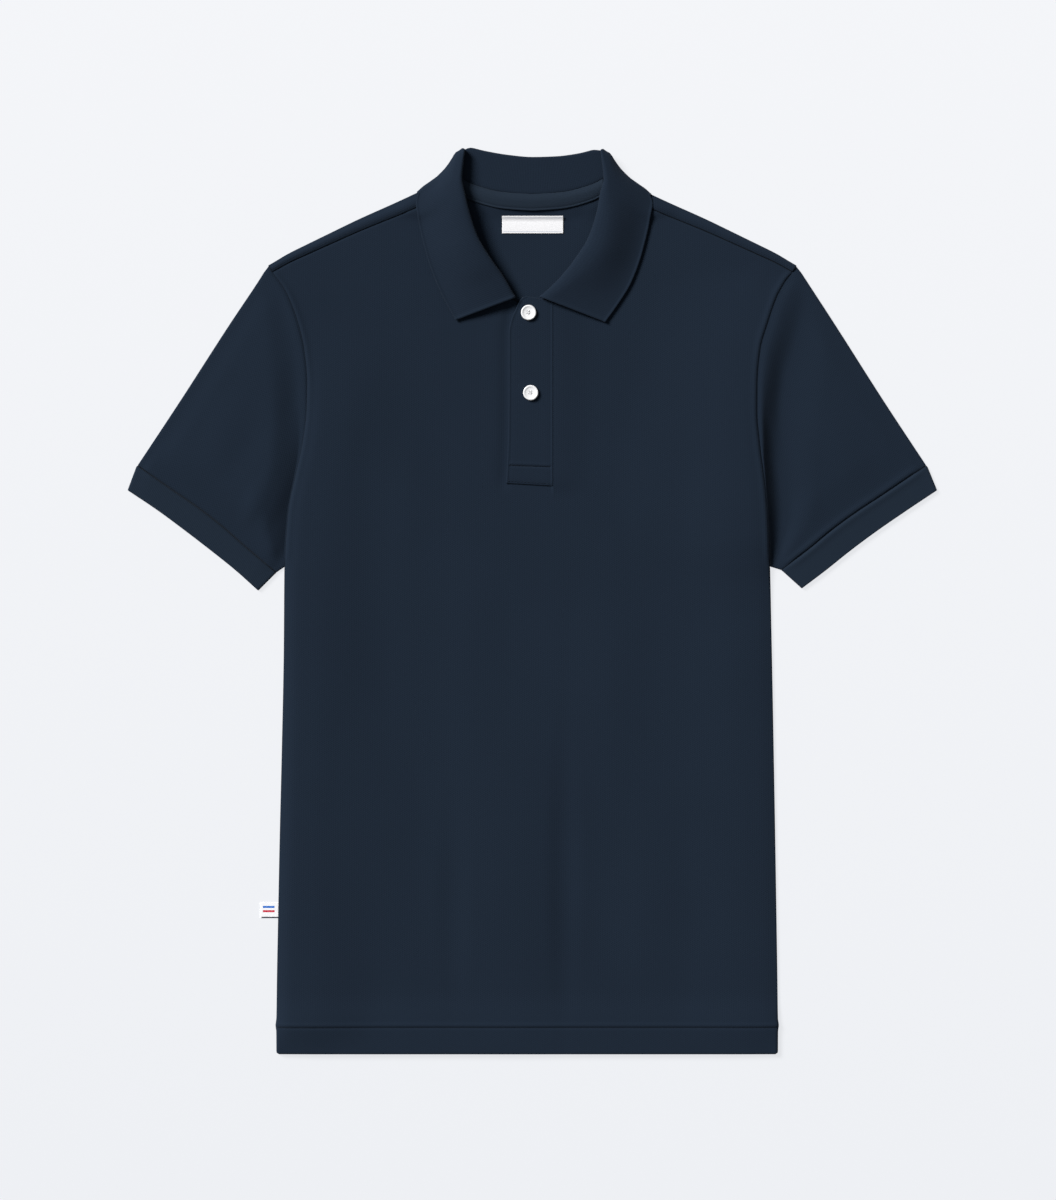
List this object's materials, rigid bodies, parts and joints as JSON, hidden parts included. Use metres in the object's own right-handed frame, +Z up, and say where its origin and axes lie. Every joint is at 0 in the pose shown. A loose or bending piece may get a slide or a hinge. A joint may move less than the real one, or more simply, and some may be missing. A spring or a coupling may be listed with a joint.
{
  "type": "polo shirt",
  "caption": "Short-sleeved knitted polo shirt laid flat and face up, with a fold-down rib collar, a buttoned half placket, rib cuffs and a turned-up hem.",
  "frame": {"origin": "middle of the shirt's box, on the surface that the back lies on", "axes": "+Z up, out of the front of the shirt; +Y towards the collar; +X towards the viewer's right as the shirt lies face up"},
  "size_m": [0.6874, 0.7682, 0.0145],
  "materials": {
    "pique": "matt navy cotton pique",
    "rib_knit": "matt navy fine rib",
    "tape": "matt navy herringbone tape",
    "woven_label": "smooth white woven",
    "button": "polished white"
  },
  "bodies": {
    "root": {"back_panel": "pique", "front_panel": "pique", "sleeve_left": "pique", "sleeve_right": "pique", "placket_under": "pique", "placket_top": "pique", "cuff_left": "rib_knit", "cuff_right": "rib_knit", "collar": "rib_knit", "neck_tape": "tape", "neck_label": "woven_label", "side_tag": "woven_label", "button_upper": "button", "button_lower": "button"}
  },
  "joints": []
}
